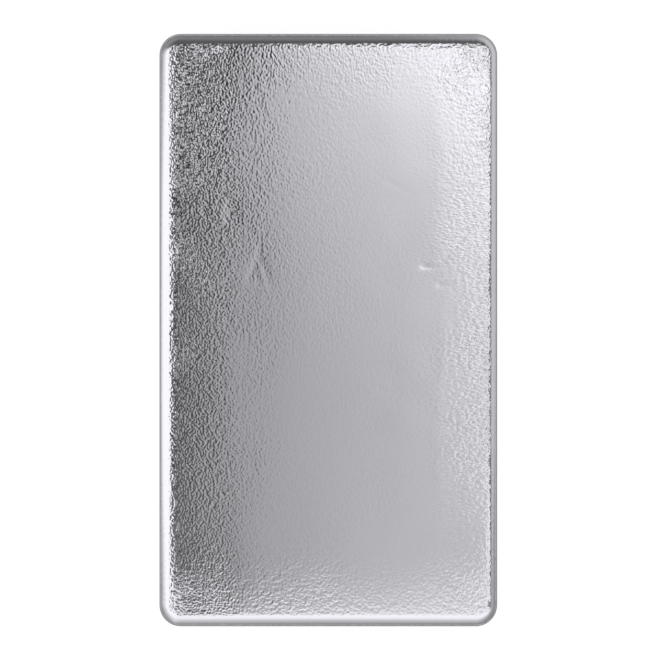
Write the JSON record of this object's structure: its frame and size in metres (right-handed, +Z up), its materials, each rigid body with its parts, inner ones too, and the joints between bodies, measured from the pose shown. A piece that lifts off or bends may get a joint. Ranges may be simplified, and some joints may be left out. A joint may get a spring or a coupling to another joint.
{
  "type": "silver bar",
  "caption": "Cast silver bar with drafted walls, rounded corners and rim, and a slightly sunken, grainy pour face; raw bullion stock.",
  "frame": {"origin": "centre of the flat mould face that the bar rests on", "axes": "+X across the width, +Y along the length, +Z up out of the pour face"},
  "size_m": [0.057, 0.1, 0.0176],
  "materials": {
    "cast_silver": "bright as-cast silver, grainy round the edges"
  },
  "bodies": {
    "root": {"silver_bar": "cast_silver"}
  },
  "joints": []
}
